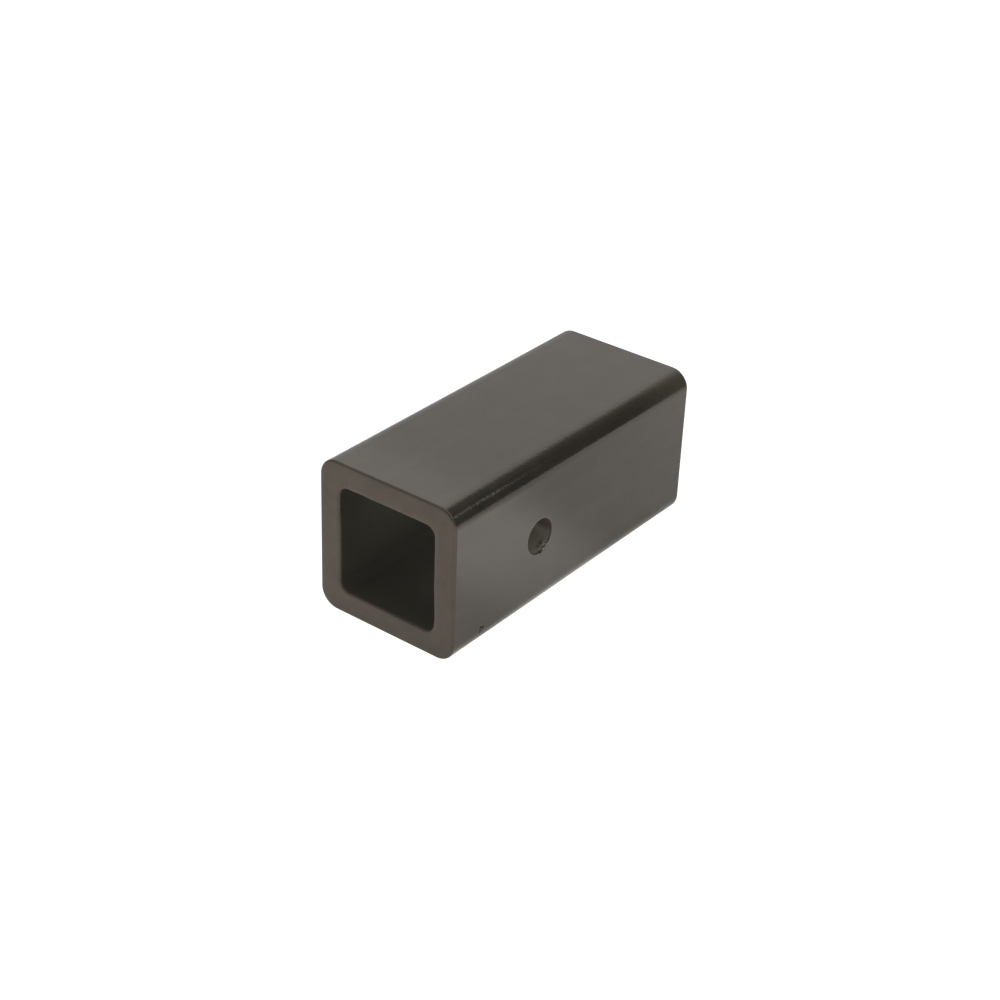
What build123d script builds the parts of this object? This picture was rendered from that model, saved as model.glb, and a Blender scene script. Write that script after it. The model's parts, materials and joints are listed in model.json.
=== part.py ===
from build123d import *

import os

# A receiver adapter for a tow hitch: one short length of thick square steel tube. Its outside
# slides into a large hitch receiver, its square socket takes the shank of a smaller ball mount,
# and a single pin goes through receiver, adapter and shank together.
#
# Sizes are in millimetres. The origin is the point where the pin's axis crosses the tube's, which
# is where every piece of a hitch is located from. +Y runs along the tube from the front end, where
# the shank goes in, to the back end. +X runs along the pin, and +Z is up.

# The parts that it mates with
receiver_opening = 79.4  # inside of the 3 in receiver that holds the adapter
shank_width = 50.8  # a 2 in square shank, which the socket holds
pin_diameter = 15.9  # a 5/8 in hitch pin

# The running clearance that each of them has, on every side
receiver_clearance = 1.6
shank_clearance = 1.1
pin_clearance = 0.6

# The tube
tube_length = 174.0
outer_corner_radius = 9.2
socket_corner_radius = 4.8
pin_from_front = 59.8  # from the front end to the pin's axis

# The broken edges that a sawn and drilled piece gets before it is painted
end_edge_radius = 1.0  # round the outside of each sawn end
mouth_edge_radius = 1.0  # round the mouth of the socket, at each end
pin_hole_edge_radius = 0.4  # where the pin enters and leaves the tube
pin_hole_inner_chamfer = 0.4  # where the drill broke through into the socket

# Sizes and places that follow from those
tube_width = receiver_opening - 2 * receiver_clearance
socket_width = shank_width + 2 * shank_clearance
pin_hole_radius = pin_diameter / 2 + pin_clearance
front_end = -pin_from_front


def square_bar(width, corner_radius):
    """A solid bar of rounded square section that runs from the front end to the back end."""
    front_plane = Plane(origin=(0, front_end, 0), x_dir=(1, 0, 0), z_dir=(0, 1, 0))
    section = front_plane * RectangleRounded(width, width, corner_radius)
    return extrude(section, amount=tube_length)


def end_faces(bar):
    """The two sawn ends of a bar, the front one first."""
    ends = bar.faces().sort_by(Axis.Y)
    return ends[0], ends[-1]


def sawn_tube():
    """The square tube, with both of its sawn ends rounded over outside and inside."""
    tube = square_bar(tube_width, outer_corner_radius) - square_bar(socket_width, socket_corner_radius)
    front, back = end_faces(tube)
    tube = fillet(front.outer_wire().edges() + back.outer_wire().edges(), end_edge_radius)
    front, back = end_faces(tube)
    mouths = front.inner_wires()[0].edges() + back.inner_wires()[0].edges()
    return fillet(mouths, mouth_edge_radius)


def rims_at(tube, distance):
    """The rims of the pin hole that lie at that distance from the tube's axis, one on each side."""
    circles = tube.edges().filter_by(GeomType.CIRCLE)
    on_pin = [rim for rim in circles if Vector(0, rim.arc_center.Y, rim.arc_center.Z).length < 0.01]
    return [rim for rim in on_pin if abs(abs(rim.arc_center.X) - distance) < 0.01]


def drilled(tube):
    """The tube with the pin hole through both of its side walls, and the hole's rims broken."""
    drill = Plane.YZ * Cylinder(pin_hole_radius, 2 * tube_width)
    tube = tube - drill
    tube = fillet(rims_at(tube, tube_width / 2), pin_hole_edge_radius)
    return chamfer(rims_at(tube, socket_width / 2), pin_hole_inner_chamfer)


receiver_adapter_tube = drilled(sawn_tube())

os.makedirs("parts", exist_ok=True)
export_step(receiver_adapter_tube, "parts/receiver_adapter_tube.step")
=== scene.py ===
# %% Load the part
import json
from math import atan2, cos, hypot, pi, radians, sin, tau

import bmesh
import bpy
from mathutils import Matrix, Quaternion, Vector, noise


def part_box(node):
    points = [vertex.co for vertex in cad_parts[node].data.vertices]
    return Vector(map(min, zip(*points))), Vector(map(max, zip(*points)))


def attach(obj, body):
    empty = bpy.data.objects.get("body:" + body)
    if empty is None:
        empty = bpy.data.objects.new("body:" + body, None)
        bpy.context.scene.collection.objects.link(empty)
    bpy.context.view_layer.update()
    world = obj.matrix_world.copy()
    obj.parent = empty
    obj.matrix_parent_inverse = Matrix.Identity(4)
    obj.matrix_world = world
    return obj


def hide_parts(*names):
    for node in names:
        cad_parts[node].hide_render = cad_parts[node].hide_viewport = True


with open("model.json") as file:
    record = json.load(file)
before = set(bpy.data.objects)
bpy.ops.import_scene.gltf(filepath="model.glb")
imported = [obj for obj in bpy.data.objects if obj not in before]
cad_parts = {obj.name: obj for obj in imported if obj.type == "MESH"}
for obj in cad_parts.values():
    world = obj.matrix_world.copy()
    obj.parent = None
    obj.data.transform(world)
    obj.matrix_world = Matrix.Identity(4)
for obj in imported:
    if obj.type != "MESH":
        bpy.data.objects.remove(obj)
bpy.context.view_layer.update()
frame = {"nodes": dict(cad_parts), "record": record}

print("loaded", sorted(frame["nodes"]))

# %% [markdown]
# A receiver adapter is a short length of thick square steel tube. Its outside slides into a large
# hitch receiver, a smaller ball mount slides into it, and one pin locks all three. It is sawn off
# a long bar, drilled across, deburred and sprayed black.
#
# Its box and its pin hole can be read from the part itself, and the other sizes repeat its drawing.
# Working from a few real sizes keeps the painted tube exactly where the solid one is.

# %% Read the sizes
mm = 0.001
tube_node = "receiver_adapter_tube"
low_corner, high_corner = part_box(tube_node)
pin_mount = next(mount for mount in frame["record"]["mounts"] if mount["name"] == "pin_hole")

half_width = high_corner.x
front_end = low_corner.y
back_end = high_corner.y
ground = low_corner.z
pin_radius = pin_mount["dims"]["r_mm"] * mm

outer_corner = 9.2 * mm
socket_half_width = 26.5 * mm
socket_corner = 4.8 * mm
end_edge = 1.0 * mm  # the rounding of the sawn ends, outside and at the mouths
pin_rim = 0.4 * mm
half_length = (back_end - front_end) / 2
tube_middle = Vector((0, front_end + half_length, 0))
print("width, length and pin hole", 2 * half_width / mm, 2 * half_length / mm, 2 * pin_radius / mm)

# %% [markdown]
# The photograph looks down on the tube from its front right. Its camera was worked back from the
# tube's straight edges, whose vanishing points give the lens and the tilt. A long lens from nearly
# a metre away keeps the edges close to parallel, as product photographs do.


# %% Place the camera
def facing(azimuth, elevation):
    """The unit vector that points up by the elevation, and away from +Y towards +X by the azimuth."""
    across = cos(radians(elevation))
    return Vector((sin(radians(azimuth)) * across, cos(radians(azimuth)) * across, sin(radians(elevation))))


def add_object(name, data):
    """A new object in the scene that holds that data."""
    made = bpy.data.objects.new(name, data)
    bpy.context.scene.collection.objects.link(made)
    return made


camera_from_front_end = Vector((475.2, -553.1, 461.2)) * mm
camera_azimuth = -36.887
camera_elevation = -30.507
camera_roll = 2.381

camera = add_object("camera", bpy.data.cameras.new("camera"))
camera.data.sensor_width = 36.0
camera.data.lens = 71.85
camera.location = Vector((0, front_end, 0)) + camera_from_front_end
level_view = facing(camera_azimuth, camera_elevation).to_track_quat("-Z", "Y")
camera.rotation_mode = "QUATERNION"
camera.rotation_quaternion = level_view @ Quaternion((0, 0, 1), radians(camera_roll))
bpy.context.scene.camera = camera
print("camera at", [round(place, 3) for place in camera.location])

# %% [markdown]
# Shader nodes read best as sums. The class below stands for one output of a node. Arithmetic on
# it adds Math nodes, so that 1 - mask or dust * 0.3 can be written as they are, and every other
# kind of node comes from one method of the tree that holds it.


# %% Write shader nodes as arithmetic
class Wire:
    """One output of a shader node. Arithmetic on it adds Math nodes to the same tree."""

    def __init__(self, tree, socket):
        self.tree = tree
        self.socket = socket

    def maths(self, operation, left, right):
        return self.tree.node("ShaderNodeMath", {"operation": operation}, {0: left, 1: right})

    def __add__(self, other):
        return self.maths("ADD", self, other)

    def __radd__(self, other):
        return self.maths("ADD", other, self)

    def __sub__(self, other):
        return self.maths("SUBTRACT", self, other)

    def __rsub__(self, other):
        return self.maths("SUBTRACT", other, self)

    def __mul__(self, other):
        return self.maths("MULTIPLY", self, other)

    def __pow__(self, power):
        return self.maths("POWER", self, power)

    def __abs__(self):
        return self.maths("ABSOLUTE", self, 0)

    def above(self, low, high):
        """0 below the low value, 1 above the high one, and a smooth step between them."""
        span = {0: self, 1: low, 2: high}
        return self.tree.node("ShaderNodeMapRange", {"interpolation_type": "SMOOTHSTEP"}, span)


class Tree:
    """The node tree of a material or of the world, emptied and ready for new nodes."""

    def __init__(self, owner):
        owner.use_nodes = True
        self.nodes = owner.node_tree.nodes
        self.links = owner.node_tree.links
        self.nodes.clear()

    def node(self, kind, settings=None, sockets=None, output=0):
        """A new node of that kind. Its settings are set first, then its sockets get values or links."""
        made = self.nodes.new(kind)
        for name, value in (settings or {}).items():
            setattr(made, name, value)
        for name, value in (sockets or {}).items():
            if isinstance(value, Wire):
                self.links.new(value.socket, made.inputs[name])
            else:
                made.inputs[name].default_value = value
        return Wire(self, made.outputs[output]) if made.outputs else None

    def along(self, axis, place):
        """One coordinate of a place."""
        return self.node("ShaderNodeSeparateXYZ", None, {0: place}, output=axis)

    def blend(self, mask, first, second):
        """The first colour where the mask is 0, and the second where it is 1."""
        # The node has sockets of the same names for numbers, so those for colours go by their place
        sockets = {0: mask, 6: first, 7: second}
        return self.node("ShaderNodeMix", {"data_type": "RGBA"}, sockets, output=2)

    def stretch(self, place, x, y, z):
        """The place with each coordinate multiplied, which squeezes or draws out a pattern."""
        both = {0: place, 1: (x, y, z)}
        return self.node("ShaderNodeVectorMath", {"operation": "MULTIPLY"}, both)

    def brighten(self, colour, times):
        """The colour, that many times as bright."""
        both = {"Vector": colour, "Scale": times}
        return self.node("ShaderNodeVectorMath", {"operation": "SCALE"}, both)

    def grain(self, place, size, detail=2.0, roughness=0.5):
        """Soft noise from 0 to 1, whose grains are about that size."""
        sockets = {"Vector": place, "Scale": 1 / size, "Detail": detail, "Roughness": roughness}
        return self.node("ShaderNodeTexNoise", None, sockets)


print("shader helpers ready")

# %% [markdown]
# The tube lies on a plain white light table, a sheet of milky acrylic with lamps under it. The
# camera sees it burn out to pure white, with no shadow, as in the photograph. Its back edge is not
# far behind the tube, and the room past it is dark, which is what blackens the rounded edge.

# %% Lay the light table
table_half_width = 1500 * mm
table_front = -1500 * mm
table_back = 340 * mm

table_corners = [(-table_half_width, table_front), (table_half_width, table_front)]
table_corners += [(table_half_width, table_back), (-table_half_width, table_back)]
table_mesh = bpy.data.meshes.new("light_table")
table_mesh.from_pydata([(x, y, ground) for x, y in table_corners], [], [(0, 1, 2, 3)])
add_object("light_table", table_mesh)
print("light table", 2 * table_half_width, "by", table_back - table_front, "m")

# %% [markdown]
# The table could glow evenly, but then the side of the tube would be one flat grey. Nobody sees the
# glow on the burnt-out table, yet the upright faces of the tube mirror it. So it is brighter and
# warmer in front of the tube, brightest at the front right, and has a pool to the right of the tube.

# %% Share out the table's glow
# How strongly the lamps shine through the acrylic, all over and in each zone
even_glow = 0.46
near_glow = 0.08
front_glow = 0.44
front_right_glow = 0.60
back_glow = 0.16
pool_glow = 0.68
pool_beside_tube = 0.42  # the share of the pool's glow that is left close to the tube
pool_far_out = 1.02
pool_slant = 0.2  # how much further back the pool reaches, for each step to the right

# Between which places each zone begins or ends, going back from the pin hole or out to the right
near_ends = (-60 * mm, 60 * mm)
front_ends = (-72 * mm, -42 * mm)
right_begins = (35 * mm, 80 * mm)
back_begins = (130 * mm, 230 * mm)
pool_begins = (-36 * mm, 18 * mm)
pool_ends = (29 * mm, 69 * mm)
pool_rises = (38 * mm, 95 * mm)

acrylic = bpy.data.materials.new("milky_acrylic")
table_mesh.materials.append(acrylic)
tree = Tree(acrylic)
place = tree.node("ShaderNodeTexCoord", output="Object")
from_hole = tree.along("Y", place)
to_the_right = tree.along("X", place)
near_zone = 1 - from_hole.above(*near_ends)
front_zone = 1 - from_hole.above(*front_ends)
front_right_zone = front_zone * to_the_right.above(*right_begins)
back_zone = from_hole.above(*back_begins)

past_pool_front = from_hole.above(*pool_begins)
past_pool_back = (from_hole - to_the_right * pool_slant).above(*pool_ends)
out_from_tube = to_the_right.above(*pool_rises)
pool_strength = pool_beside_tube + out_from_tube * (pool_far_out - pool_beside_tube)
pool = pool_strength * past_pool_front * (1 - past_pool_back)

glow = even_glow + near_zone * near_glow + front_zone * front_glow
glow = glow + front_right_zone * front_right_glow + back_zone * back_glow + pool * pool_glow
print("table glow from", even_glow, "up")

# %% [markdown]
# A lamp seen through acrylic and its mirror image should be equally bright, but a camera that is set
# for the black tube burns the one out and keeps the other. So the acrylic has two looks: plain white
# where the camera sees it directly, and the glow that was shared out above for all that mirrors it.

# %% Light the acrylic
white = (1.0, 0.985, 0.965, 1)
warm_white = (1.0, 0.93, 0.88, 1)
burnt_out = (1.2, 1.2, 1.2, 1)
acrylic_grey = (0.5, 0.5, 0.5, 1)
acrylic_roughness = 0.6

tint = tree.blend(front_zone, white, warm_white)
seen_directly = tree.node("ShaderNodeLightPath", output="Is Camera Ray")
milky = {"Base Color": acrylic_grey, "Roughness": acrylic_roughness}
milky["Emission Color"] = tree.brighten(tint, glow)
milky["Emission Strength"] = 1.0
mirrored = tree.node("ShaderNodeBsdfPrincipled", None, milky)
direct = tree.node("ShaderNodeEmission", None, {"Color": burnt_out})
shader = tree.node("ShaderNodeMixShader", None, {0: seen_directly, 1: mirrored, 2: direct})
tree.node("ShaderNodeOutputMaterial", None, {"Surface": shader})
print("acrylic nodes", len(tree.nodes))

# %% [markdown]
# Black gloss paint has hardly any colour of its own: what the eye sees on it is the room. So the
# lights are placed by what each part of the tube mirrors. The two upright faces mirror the table.
# The top face mirrors a white card behind the tube on the left, which is brighter higher up. The
# rounded edge sweeps from that card, past a dark corner of the room at the back right, down to the
# table. A window high up on the right reaches into the pin hole, and a glow at the front left fills
# in the sawn end and the socket. The walls are cream, so what mirrors them is a little warmer.
#
# The card, the window and the rest are far off, so they are painted on the room as round patches
# with soft rims, each about one direction.


# %% Light the room
cream = (1.0, 0.95, 0.82, 1)
card_glow = 0.50
window_glow = 2.6
fill_glow = 0.5
wall_glow = 0.16


def patch(tree, view, direction, full, none):
    """1 within the full angle of that direction in the room, 0 past the other, and soft between."""
    both = {0: view, 1: direction}
    nearness = tree.node("ShaderNodeVectorMath", {"operation": "DOT_PRODUCT"}, both, output="Value")
    return nearness.above(cos(radians(none)), cos(radians(full)))


room = bpy.data.worlds.new("room")
bpy.context.scene.world = room
tree = Tree(room)
view = tree.node("ShaderNodeTexCoord", output="Generated")
white_card = patch(tree, view, facing(-31, 13), full=31, none=43)
window = patch(tree, view, facing(90, 52), full=8, none=28)
front_left_fill = patch(tree, view, facing(-115, 40), full=25, none=50)
dark_corner = patch(tree, view, facing(46, 14), full=22, none=44)
room_glow = white_card * (card_glow + tree.along("Z", view)) + window * window_glow
room_glow = room_glow + front_left_fill * fill_glow + (1 - dark_corner) * wall_glow
seen_directly = tree.node("ShaderNodeLightPath", output="Is Camera Ray")
wall_colour = tree.blend(white_card, cream, white)
lit = tree.node("ShaderNodeBackground", None, {"Color": tree.brighten(wall_colour, room_glow)})
direct = tree.node("ShaderNodeBackground", None, {"Color": burnt_out})
shader = tree.node("ShaderNodeMixShader", None, {0: seen_directly, 1: lit, 2: direct})
tree.node("ShaderNodeOutputWorld", None, {"Surface": shader})
print("room painted")

# %% [markdown]
# Two lamps hang in the room. A large softbox straight above gives the paint its own soft colour,
# and a small yellow lamp in the dark corner draws the thin line along the front of the rounded
# edge. That line could be painted on, but a real lamp lets it slide along the edge as the eye moves.


# %% Hang the lamps
lamp_yellow = (1.0, 0.95, 0.72, 1)


def hang_lamp(name, target, direction, distance, size, glow, colour):
    """A soft square lamp that faces its target, and glows that many times as bright as white."""
    light = bpy.data.lights.new(name, "AREA")
    light.shape = "SQUARE"
    light.size = size
    light.energy = glow * pi * size**2
    light.color = colour[:3]
    lamp = add_object(name, light)
    lamp.location = target + direction * distance
    lamp.rotation_mode = "QUATERNION"
    lamp.rotation_quaternion = (-direction).to_track_quat("-Z", "Y")
    print(name, size, "m across,", distance, "m away")


hang_lamp("softbox_above", tube_middle, facing(0, 90), distance=0.9, size=0.6, glow=2.5, colour=white)
edge_front = Vector((35.7, -45, 35)) * mm
to_corner = facing(39.5, 28)
hang_lamp("edge_lamp", edge_front, to_corner, distance=0.25, size=0.024, glow=3.6, colour=lamp_yellow)

# %% [markdown]
# A little light strays inside every lens when most of the picture is white, and lifts the blacks.
# A black level below zero does the same. The view transform is the plain one, because the filmic
# ones bend these greys.

# %% Develop the picture
stray_light = Vector((0.0097, 0.0094, 0.0082))
look = bpy.context.scene.view_settings
look.view_transform = "Standard"
look.use_curve_mapping = True
look.curve_mapping.black_level = -stray_light
look.curve_mapping.update()
print("stray light", stray_light)

# %% [markdown]
# The tube could be cut from a block with booleans, but they leave long thin triangles that shade
# badly under gloss paint. Here it is drawn as rings instead. One rounded square is swept along the
# outside, in over the sawn end, back through the socket and out again, until it meets itself. Each
# ring has the same number of points, so all of the faces are neat four-sided ones.
#
# The points crowd in just before each rounded corner. They hold the flat faces flat, so the soft
# shading stays on the roundings, as it does on the real thing.

# %% Share out the points of a ring
hole_block = 0.5  # the part of each flat, about its middle, that the pin hole is let into
block_steps = 28
side_steps = 7
corner_steps = 14
crowding = 0.25 * mm


def evenly(first, last, steps):
    """Numbers from the first to the last one, in that many even steps."""
    return [first + (last - first) * step / steps for step in range(steps + 1)]


def flat_stops(half_flat):
    """Places across one flat, from one rounded corner to the next."""
    outer_part = evenly(hole_block * half_flat, half_flat - crowding, side_steps)[1:] + [half_flat]
    middle_part = evenly(-hole_block * half_flat, hole_block * half_flat, block_steps)
    return [-place for place in reversed(outer_part)] + middle_part + outer_part


def ring(y, half, corner):
    """A rounded square across the tube at that y, as points that start low on its +X side."""
    half_flat = half - corner
    turn = evenly(0, pi / 2, corner_steps)[1:-1]
    side = [(half, place) for place in flat_stops(half_flat)]
    side += [(half_flat + corner * cos(angle), half_flat + corner * sin(angle)) for angle in turn]
    points = []
    for quarter in range(4):
        points += [Vector((x, y, z)) for x, z in side]
        side = [(-z, x) for x, z in side]
    return points


print("points in each ring", len(ring(0, half_width, outer_corner)))

# %% [markdown]
# The rings run along the tube in four stretches. The stretch along a skin has rings that line up
# with the block round the pin hole. The stretch over a sawn end blends the outer ring into the
# inner one, and the edges between them are turned by a quarter circle of rings.

# %% Draw the rings
row_spacing = 1.8 * mm
edge_steps = 5
end_steps = 6


def skin_rows(half_flat, edge):
    """Places along a skin, from one rolled edge to the other, with the pin hole's block between."""
    block = hole_block * half_flat
    front_from, back_to = front_end + edge, back_end - edge
    front_steps = round((-block - front_from) / row_spacing)
    back_steps = round((back_to - block) / row_spacing)
    front_part = [front_from] + evenly(front_from + crowding, -block, front_steps)
    back_part = evenly(block, back_to - crowding, back_steps) + [back_to]
    return front_part + evenly(-block, block, block_steps)[1:-1] + back_part


def rolled_edge(half, corner, outward, end):
    """Rings round the edge of a sawn end, from the skin to the end face."""
    back = 1 if end == back_end else -1
    turned = []
    for angle in evenly(0, pi / 2, edge_steps)[1:]:
        inset = outward * end_edge * (1 - cos(angle))
        short = back * end_edge * (1 - sin(angle))
        turned.append(ring(end - short, half + inset, corner + inset))
    return turned


def across_end(first, last):
    """Rings on an end face, between its two edges."""
    shares = evenly(0, 1, end_steps)[1:-1]
    return [[a.lerp(b, share) for a, b in zip(first, last)] for share in shares]


outer_rows = skin_rows(half_width - outer_corner, end_edge)
inner_rows = skin_rows(socket_half_width - socket_corner, end_edge)
outer_skin = [ring(y, half_width, outer_corner) for y in outer_rows]
inner_skin = [ring(y, socket_half_width, socket_corner) for y in reversed(inner_rows)]
back_outer_edge = rolled_edge(half_width, outer_corner, -1, back_end)
back_mouth_edge = rolled_edge(socket_half_width, socket_corner, 1, back_end)[::-1]
front_outer_edge = rolled_edge(half_width, outer_corner, -1, front_end)[::-1]
front_mouth_edge = rolled_edge(socket_half_width, socket_corner, 1, front_end)
back_face = across_end(back_outer_edge[-1], back_mouth_edge[0])
front_face = across_end(front_mouth_edge[-1], front_outer_edge[0])

rings = outer_skin + back_outer_edge + back_face + back_mouth_edge
rings += inner_skin + front_mouth_edge + front_face + front_outer_edge
print("rings", len(rings))

# %% [markdown]
# The pin hole is let into a square block on each side wall. The block's edge is stretched loop by
# loop into a circle, which keeps the faces four-sided right up to the rim. More loops then roll
# the rim over, run down the bore and bevel it where the drill broke through.

# %% Draw the pin hole
fan_steps = 6
fan_crowding = 0.6  # below 1, the loops of a fan crowd towards the circle
rim_steps = 4
bore_depth_step = 0.7 * mm


def square_loop(x, half):
    """Points round a square block on a side wall, starting at its low front corner."""
    run = evenly(-half, half, block_steps)[:-1]
    loop = [(y, -half) for y in run] + [(half, z) for z in run]
    loop += [(-y, half) for y in run] + [(-half, -z) for z in run]
    return [Vector((x, y, z)) for y, z in loop]


def circle_loop(x, radius):
    """As many points round a circle on the pin's axis, starting towards the same corner."""
    count = 4 * block_steps
    angles = [-3 * pi / 4 + tau * step / count for step in range(count)]
    return [Vector((x, radius * cos(angle), radius * sin(angle))) for angle in angles]


def fan(square, circle):
    """Loops that turn a square into a circle, closer together near the circle."""
    shares = [share**fan_crowding for share in evenly(0, 1, fan_steps)][:-1]
    return [[a.lerp(b, share) for a, b in zip(square, circle)] for share in shares]


def pin_hole_loops(side):
    """Loops from the outer skin, over the rim and down the bore, to the socket, on that side."""
    outer_block = square_loop(side * half_width, hole_block * (half_width - outer_corner))
    inner_block = square_loop(side * socket_half_width, hole_block * (socket_half_width - socket_corner))
    rim = []
    for angle in evenly(0, pi / 2, rim_steps):
        sunk, wider = pin_rim * (1 - cos(angle)), pin_rim * (1 - sin(angle))
        rim.append(circle_loop(side * (half_width - sunk), pin_radius + wider))
    bore_top, bore_foot = half_width - pin_rim, socket_half_width + pin_rim
    bore_steps = round((bore_top - bore_foot) / bore_depth_step)
    bore = [circle_loop(side * x, pin_radius) for x in evenly(bore_top, bore_foot, bore_steps)[1:]]
    bevel = circle_loop(side * socket_half_width, pin_radius + pin_rim)
    return fan(outer_block, rim[0]) + rim + bore + [bevel] + fan(inner_block, bevel)[::-1]


print("loops on each side", len(pin_hole_loops(1)))

# %% [markdown]
# The rings are joined into a closed skin first. Then the blocks are taken out of both skins on
# both sides, and the loops of the pin holes are let in and welded along the blocks' edges. A count
# of the open edges shows whether the weld took everywhere.


# %% Join the skin
def join_loops(shape, loops):
    """Four-sided faces between loops of points that each have the same count."""
    verts = [[shape.verts.new(point) for point in loop] for loop in loops]
    for near, far in zip(verts, verts[1:]):
        for this, after in zip(range(-1, len(near) - 1), range(len(near))):
            shape.faces.new((near[this], near[after], far[after], far[this]))


def in_block(face, half, corner):
    """Whether a face lies in the block that a pin hole is let into, on the skin of that half width."""
    middle = face.calc_center_median()
    block = hole_block * (half - corner)
    on_skin = abs(abs(middle.x) - half) < weld
    return on_skin and abs(middle.y) < block and abs(middle.z) < block


weld = 0.002 * mm
tube_shape = bmesh.new()
join_loops(tube_shape, rings + rings[:1])
blocks = [
    face
    for face in tube_shape.faces
    if in_block(face, half_width, outer_corner) or in_block(face, socket_half_width, socket_corner)
]
bmesh.ops.delete(tube_shape, geom=blocks, context="FACES")
for side in (-1, 1):
    join_loops(tube_shape, pin_hole_loops(side))
bmesh.ops.remove_doubles(tube_shape, verts=tube_shape.verts, dist=weld)
bmesh.ops.recalc_face_normals(tube_shape, faces=tube_shape.faces)
open_edges = [edge for edge in tube_shape.edges if not edge.is_manifold]
print("faces", len(tube_shape.faces), "open edges", len(open_edges))

# %% [markdown]
# No tube is as true as its drawing. Its flats are a little hollow and wavy, and the deburred mouths
# wander. Bump in the paint could hint at that, but the outline of the mouth would stay dead true.
# Small moves of the points give it in the round, and on the flats they only go inwards, so that the
# tube keeps to its box. They fade out towards the sawn ends and the pin hole, where a step would
# show. The front mouth was filed a little further in two places, high on its left and low on its
# right.


# %% Make the flats and the mouths a little uneven
def wander(place, size, seed):
    """Smooth noise from -1 to 1 with lumps of about that size."""
    return noise.noise(place / size + Vector((seed, seed, seed)))


def fading(distance, reach):
    """1 at no distance, falling evenly to 0 at the reach."""
    return min(1, max(0, 1 - distance / reach))


def inside_of(place, half, corner):
    """How far a place lies inside the rounded square of that half width."""
    past_x = abs(place.x) - (half - corner)
    past_z = abs(place.z) - (half - corner)
    if past_x > 0 and past_z > 0:
        return corner - hypot(past_x, past_z)
    return corner - max(past_x, past_z)


def apart(turn, other):
    """The angle between two directions, whichever way round is shorter."""
    return abs((turn - other + pi) % tau - pi)


def eased(share):
    """The share from 0 to 1, with a soft start and a soft end."""
    return share * share * (3 - 2 * share)


flat_wave = 0.06 * mm
wave_size = 24 * mm
mouth_wave = 0.18 * mm
mouth_wave_size = 6 * mm
fade_reach = 7 * mm
filed_turns = [radians(150), radians(328)]  # round the front mouth, from the right towards the top
filed_spread = radians(24)
filed_depth = 0.65 * mm

tube_shape.normal_update()
for vert in tube_shape.verts:
    place = vert.co.copy()
    from_end = min(place.y - front_end, back_end - place.y)
    from_rim = hypot(place.y, place.z) - pin_radius - pin_rim
    if inside_of(place, half_width, outer_corner) < weld:
        held = max(fading(from_end, fade_reach), fading(from_rim, fade_reach))
        hollow = (1 + wander(place, wave_size, seed=3)) / 2
        vert.co -= vert.normal * flat_wave * hollow * (1 - held)
    from_socket = -inside_of(place, socket_half_width, socket_corner)
    if -weld < from_socket < fade_reach:
        moved = fading(from_socket, fade_reach) * fading(from_end, fade_reach)
        outwards = Vector((place.x, 0, place.z)).normalized()
        vert.co += outwards * moved * mouth_wave * wander(place, mouth_wave_size, seed=11)
        if place.y < 0:
            around = atan2(place.z, place.x)
            filed = sum(eased(fading(apart(around, turn), filed_spread)) for turn in filed_turns)
            vert.co += outwards * moved * filed_depth * filed
print("flats hollowed by up to", flat_wave / mm, "mm, front mouth filed by", filed_depth / mm, "mm")

# %% [markdown]
# Small marks make this tube the one in the photograph. The drill left a burr on the low right of
# the pin hole's rim, with paint gathered over it in a ragged bead, and broke a chip out beside it.
#
# They are smaller than the faces there, so those are divided first. The new points then move. The
# rim bulges into the hole in a ragged lip, lumpy noise sinks parts of it, and the chip is drawn back
# from the hole.


# %% Add the burr and the chip
def refine(shape, middle, reach, cuts):
    """Divides the faces within reach of a place."""
    edges = [edge for edge in shape.edges if all((vert.co - middle).length < reach for vert in edge.verts)]
    bmesh.ops.subdivide_edges(shape, edges=edges, cuts=cuts, use_grid_fill=True)


def along_rim(turn, middle, spread):
    """1 about the middle of a mark on the rim, falling to 0 at both of its ends."""
    return min(1, 2 * fading(apart(turn, middle), spread))


burr_turn = radians(-60)  # round the hole, from the back end towards the top
burr_spread = radians(20)
burr_width = 1.9 * mm  # how far it bulges into the hole
burr_fullness = 0.75  # the share of its width that it has between its lumps and its hollows
burr_lump = 1.8 * mm
burr_relief = 0.3 * mm  # how far parts of it are sunk from the side's flat
burr_sinking = 0.5  # the share of its relief that it is sunk by between its pits
burr_pit = 1.1 * mm
burr_lip = 0.5 * mm  # the thickness of its outer lip, which bulges the most
burr_depth = 4 * mm  # how far down the bore it fades out
chip_turn = radians(-79)
chip_spread = radians(10)
chip_width = 0.9 * mm  # how far it has broken out of the rim
chip_depth = 1.6 * mm
rim_reach = 2.4 * mm  # how far the steel round the hole is drawn along with its rim
wide_reach = 7 * mm  # from the burr's middle, the faces that are divided once
close_reach = 5 * mm  # and those that are divided a second time
burr_middle = Vector((half_width, pin_radius * cos(burr_turn), pin_radius * sin(burr_turn)))
for reach in (wide_reach, close_reach):
    refine(tube_shape, burr_middle, reach, cuts=1)

for vert in tube_shape.verts:
    depth = half_width - vert.co.x
    from_pin = hypot(vert.co.y, vert.co.z)
    past_rim = max(0, from_pin - pin_radius - pin_rim)
    if depth < burr_depth and past_rim < rim_reach:
        turn = atan2(vert.co.z, vert.co.y)
        near_rim = fading(past_rim, rim_reach) ** 2
        in_burr = near_rim * along_rim(turn, burr_turn, burr_spread)
        in_burr *= fading(depth - burr_lip, burr_depth - burr_lip)
        in_chip = near_rim * along_rim(turn, chip_turn, chip_spread) * fading(depth, chip_depth)
        bulge = burr_width * in_burr * (burr_fullness + wander(vert.co, burr_lump, seed=5))
        bulge -= chip_width * in_chip
        sunk = burr_relief * in_burr * (burr_sinking + wander(vert.co, burr_pit, seed=7))
        inwards = Vector((0, -vert.co.y, -vert.co.z)) / from_pin
        vert.co += inwards * bulge - Vector((max(0, sunk), 0, 0))
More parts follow.
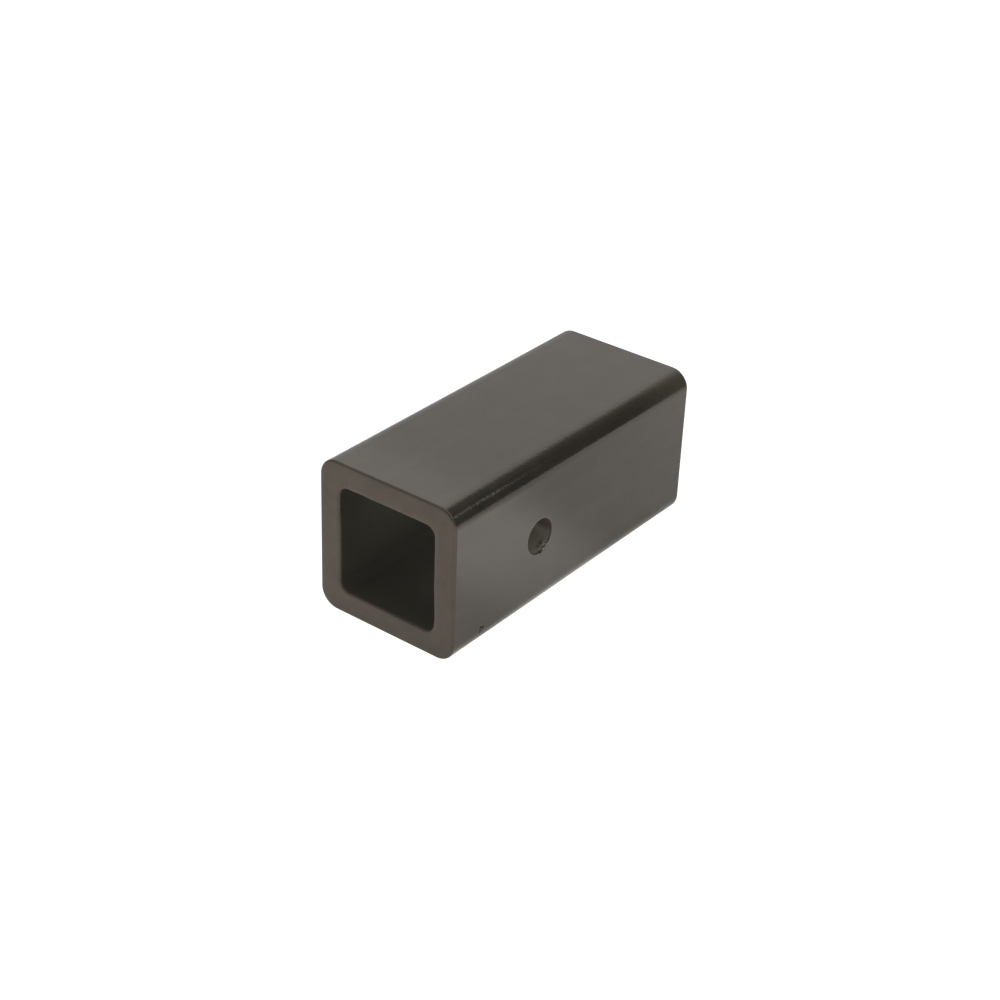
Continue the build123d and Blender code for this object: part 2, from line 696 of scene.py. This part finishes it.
print("burr", burr_width / mm, "mm and chip", chip_width / mm, "mm wide")

# %% [markdown]
# Lower down and nearer the front, something hard has left a hooked nick where the side begins to
# round under. The faces there are divided too, and then the nick is pressed in along its two strokes.
# The nearer a point is to a stroke, the deeper it sinks, so the nick has sloping walls and a sharp
# bottom, as a real one has.


# %% Add the nick
def from_line(place, first, last):
    """The distance of a place from a straight line between two points."""
    share = (place - first).dot(last - first) / (last - first).length_squared
    return (place - first.lerp(last, min(1, max(0, share)))).length


nick_points = [(-38.9, -28.3), (-40.7, -27.6), (-41.2, -30.0)]
nick_path = [Vector((half_width, y * mm, z * mm)) for y, z in nick_points]
nick_half_width = 1.0 * mm
nick_depth = 0.7 * mm
nick_reach = 5 * mm  # from its corner, the points that can move
nick_divided = 0.9 * nick_reach  # from its corner, the faces that are divided
refine(tube_shape, nick_path[1], nick_divided, cuts=7)
tube_shape.normal_update()
for vert in tube_shape.verts:
    if (vert.co - nick_path[1]).length < nick_reach:
        distance = min(from_line(vert.co, *nick_path[:2]), from_line(vert.co, *nick_path[1:]))
        vert.co -= vert.normal * nick_depth * fading(distance, nick_half_width) ** 2
open_edges = [edge for edge in tube_shape.edges if not edge.is_manifold]
print("faces", len(tube_shape.faces), "open edges", len(open_edges))

# %% [markdown]
# The finished skin becomes one object. It rides with the solid tube, stands for it, and takes its
# finish from the same paint.

# %% Make the tube
tube_mesh = bpy.data.meshes.new("painted_tube")
tube_shape.to_mesh(tube_mesh)
tube_shape.free()
tube_mesh.shade_smooth()
tube = add_object("painted_tube", tube_mesh)
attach(tube, "root")
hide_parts(tube_node)
print(tube.name, len(tube_mesh.vertices), "points")

# %% [markdown]
# One paint covers the whole tube, but it went on in different ways. A picture could be wrapped
# round the tube to say where, but its seams and its one size of dot would show. So the material
# works out where it is: on the long rounded edges, inside the socket, in the drilled hole, on a
# sawn end. Each place is a mask from 0 to 1, made from the real sizes of the tube.

# %% Find the kinds of surface
paint = bpy.data.materials.new("black_paint")
tube_mesh.materials.append(paint)
tree = Tree(paint)
place = tree.node("ShaderNodeTexCoord", output="Object")
sideways = abs(tree.along("X", place))
from_hole = tree.along("Y", place)
above_pin = tree.along("Z", place)
height = abs(above_pin)
from_pin = (from_hole * from_hole + height * height) ** 0.5
from_middle = abs(from_hole - tube_middle.y)

mouth_top = socket_half_width + 0.7 * mm  # where the socket's film has ended, on the rolled mouth
within_width = 1 - sideways.above(socket_half_width, mouth_top)
within_height = 1 - height.above(socket_half_width, mouth_top)
in_socket = within_width * within_height

bore_skin = pin_radius + 0.05 * mm  # a hair outside the bore, so that all of its skin is within
bore_past = pin_radius + 0.15 * mm
within_pin = 1 - from_pin.above(bore_skin, bore_past)
below_rim = 1 - sideways.above(half_width - 2 * pin_rim, half_width - pin_rim)
in_bore = within_pin * below_rim

end_starts = half_length - 0.5 * mm  # halfway over the rolled edge
end_full = half_length - 0.1 * mm
on_end = from_middle.above(end_starts, end_full)
rolled_starts = half_length - 1.3 * mm  # just before the rolled edge
rolled_full = half_length - 0.9 * mm
on_rolled_end = from_middle.above(rolled_starts, rolled_full)

edge_starts = half_width - outer_corner + 0.6 * mm  # a little way past the end of the flat
edge_full = edge_starts + 2 * mm
in_corner = sideways.above(edge_starts, edge_full) * height.above(edge_starts, edge_full)
on_edge = in_corner * (1 - on_end)
print("masks ready")

# %% [markdown]
# Sprayed paint is never quite even. Soft noise puts blotches all over it and faint streaks along the
# bar. The streaks show in the colour and in the gloss alike, so they are made once, for both.

# %% Scatter the blotches and the streaks
blotch_size = 13 * mm
streak_width = 5 * mm
streak_squeeze = 0.04  # along the tube, which draws each streak out
blotches = tree.grain(place, blotch_size, detail=3, roughness=0.6)
streak_place = tree.stretch(place, 1, streak_squeeze, 1)
streaks = tree.grain(streak_place, streak_width, detail=3, roughness=0.6)
print("blotches of", blotch_size / mm, "mm, streaks", streak_width / mm, "mm wide")

# %% [markdown]
# Thick gloss paint is almost black. Where the spray only just reached, it lies as a thin dusty
# film that is greyer: in a haze over the front of the top and bottom faces, in the streaks, and in
# the blotches. The long rounded edges are also painted greyer towards the far end and near the top,
# partly for that dust and partly as a painted sheen that stands in for the light they mirror there.
# The sawn ends and the long edges are a touch browner than the rest.

# %% Mix the colours of the outside
thick_paint = (0.0100, 0.0096, 0.0084, 1)
dusty_grey_and_sheen = (0.070, 0.064, 0.055, 1)
brown_film = (0.030, 0.022, 0.017, 1)

# How much dusty film, painted sheen and brown film there is, where each is at its most
haze_dryness = 0.44
far_edge_dust_and_sheen = 0.42
upper_edge_dust_and_sheen = 0.14
blotch_dryness = 0.10
streak_dryness = 0.14
end_brownness = 0.6
edge_brownness = 0.3

# Between which values of the noise a blotch or a streak comes up
blotch_rises = (0.40, 0.75)
end_blotch_rises = (0.3, 0.7)
streak_rises = (0.35, 0.80)

# Between which places each film begins or ends, up from the tube's axis or back from the pin hole
flat_begins = (37.3 * mm, 38 * mm)
haze_ends = (front_end, front_end + 42 * mm)
far_edge_begins = (68 * mm, back_end)
upper_edge_from_axis = (33.5 * mm, 36.5 * mm)
upper_edge_from_hole = (10 * mm, 75 * mm)
brown_edge_begins = (-30 * mm, 30 * mm)

front_haze = height.above(*flat_begins) * (1 - from_hole.above(*haze_ends))
# The far end and upper part of the rounded edges are painted lighter, partly dust and partly painted sheen
far_edge = on_edge * from_hole.above(*far_edge_begins)
upper_edge = on_edge * height.above(*upper_edge_from_axis) * from_hole.above(*upper_edge_from_hole)
dust_and_painted_sheen = front_haze * haze_dryness + far_edge * far_edge_dust_and_sheen + upper_edge * upper_edge_dust_and_sheen
dust_and_painted_sheen = dust_and_painted_sheen + blotches.above(*blotch_rises) * blotch_dryness
dust_and_painted_sheen = dust_and_painted_sheen + streaks.above(*streak_rises) * streak_dryness
colour = tree.blend(dust_and_painted_sheen, thick_paint, dusty_grey_and_sheen)

brown_edge = on_edge * from_hole.above(*brown_edge_begins)
brownness = on_end * blotches.above(*end_blotch_rises) * end_brownness + brown_edge * edge_brownness
colour = tree.blend(brownness, colour, brown_film)
print("outside mixed")

# %% [markdown]
# The spray reaches into the socket from both ends, and leaves the grey of the rolling mill in its
# middle. Hardly any of it gets into the drilled bore, which is painted darker and browner above the
# pin's axis and greyer below. A small light spot on the burr is a painted glint.

# %% Mix the colours of the inside
socket_film = (0.024, 0.023, 0.017, 1)
mill_grey = (0.220, 0.210, 0.168, 1)
drilled_steel = (0.190, 0.192, 0.170, 1)
brown_bore = (0.072, 0.054, 0.050, 1)
painted_glint_grey = (0.28, 0.275, 0.26, 1)
unsprayed_reach = 15 * mm  # from the tube's middle, each way
brown_begins = (-6 * mm, 2 * mm)  # up from the pin's axis
bore_evenness = 0.6  # how far its own colours cover the bore where the blotches are faintest
glint_middle = Vector((half_width, 3.9 * mm, -5.9 * mm))
glint_ends = (0.4 * mm, 0.9 * mm)  # out from its middle

unsprayed = 1 - from_middle.above(unsprayed_reach, half_length)
colour = tree.blend(in_socket, colour, tree.blend(unsprayed, socket_film, mill_grey))
# The bore is darker and browner above the pin's axis and greyer below
bore_colour = tree.blend(above_pin.above(*brown_begins), drilled_steel, brown_bore)
bore_cover = in_bore * (bore_evenness + blotches * (1 - bore_evenness))
colour = tree.blend(bore_cover, colour, bore_colour)
# A painted glint: a light spot in the colour on the burr, where the highlight shows
both = {0: place, 1: glint_middle}
from_glint = tree.node("ShaderNodeVectorMath", {"operation": "DISTANCE"}, both, output="Value")
colour = tree.blend(1 - from_glint.above(*glint_ends), colour, painted_glint_grey)
print("inside mixed")

# %% [markdown]
# The gloss is uneven in the same places. Dry spray scatters the light, so the far end of the
# rounded edges, the rolled ends and the inside are duller. One roughness all over would be simpler,
# but then every face mirrors the studio alike. A fine grain keeps even the glossy faces from
# mirroring like glass.

# %% Set the gloss
wet_roughness = 0.14
edge_gloss = 0.03
grain_dulling = 0.06
patch_dulling = 0.06
streak_dulling = 0.03
far_edge_dulling = 0.16
socket_dulling = 0.12
bore_dulling = 0.20
rolled_end_dulling = 0.15
fine_grain_size = 0.9 * mm
gloss_patch_size = 7 * mm

fine_grain = tree.grain(place, fine_grain_size)
gloss_patches = tree.grain(place, gloss_patch_size)
roughness = wet_roughness - on_edge * edge_gloss + streaks * streak_dulling
roughness = roughness + fine_grain * grain_dulling + gloss_patches * patch_dulling
roughness = roughness + far_edge * far_edge_dulling + in_socket * socket_dulling
roughness = roughness + in_bore * bore_dulling + on_rolled_end * rolled_end_dulling
print("gloss set")

# %% [markdown]
# Sprayed paint dries with a skin like orange peel, about a millimetre from dimple to dimple. It is
# deeper on the rounded edges, where the lamp's line breaks up into specks. Under it are the
# lengthwise lines of the rolling mill, the fine lines of the saw on the ends, and the rings that
# the drill cut in the bore. All of these are far too fine to be worth points of their own, so they
# are bump. All heights are in metres, so they are as real as the sizes above.

# %% Raise the texture
peel_height = 0.008 * mm
edge_peel_height = 0.085 * mm
mill_line_height = 0.004 * mm
saw_line_height = 0.008 * mm
drill_ring_height = 0.020 * mm

dimple_size = 1.4 * mm
mill_line_width = 0.9 * mm
saw_line_width = 0.5 * mm
drill_ring_width = 0.5 * mm

# How much the noise is squeezed along each kind of line, which draws the lines out
mill_squeeze = 0.02
saw_squeeze = 0.03
drill_squeeze = 0.05

dimples = tree.grain(place, dimple_size)
mill_place = tree.stretch(place, 1, mill_squeeze, 1)
mill_lines = tree.grain(mill_place, mill_line_width, roughness=0.6)
saw_place = tree.stretch(place, saw_squeeze, 1, 1)
saw_lines = tree.grain(saw_place, saw_line_width, roughness=0.6)
drill_place = tree.stretch(place, 1, drill_squeeze, drill_squeeze)
drill_rings = tree.grain(drill_place, drill_ring_width, roughness=0.6)
relief = dimples * (peel_height + on_edge * edge_peel_height) + mill_lines * mill_line_height
relief = relief + on_end * saw_lines * saw_line_height + in_bore * drill_rings * drill_ring_height
bumpy = tree.node("ShaderNodeBump", None, {"Strength": 1.0, "Distance": 1.0, "Height": relief})
print("relief up to", edge_peel_height / mm, "mm")

# %% [markdown]
# Colour, gloss and relief now meet in one shader. A clear coat over a dull base could make the
# gloss too, but this paint is one layer, so it has one gloss. Its reflections are a little warmer
# than the room, as they are in the photograph, and the specular tint gives that in every view.

# %% Spray the tube
finish = {"Base Color": colour, "Roughness": roughness, "IOR": 1.5, "Normal": bumpy}
finish["Specular Tint"] = (1.0, 0.85, 0.73, 1)
shader = tree.node("ShaderNodeBsdfPrincipled", None, finish)
tree.node("ShaderNodeOutputMaterial", None, {"Surface": shader})
print("paint nodes", len(tree.nodes))
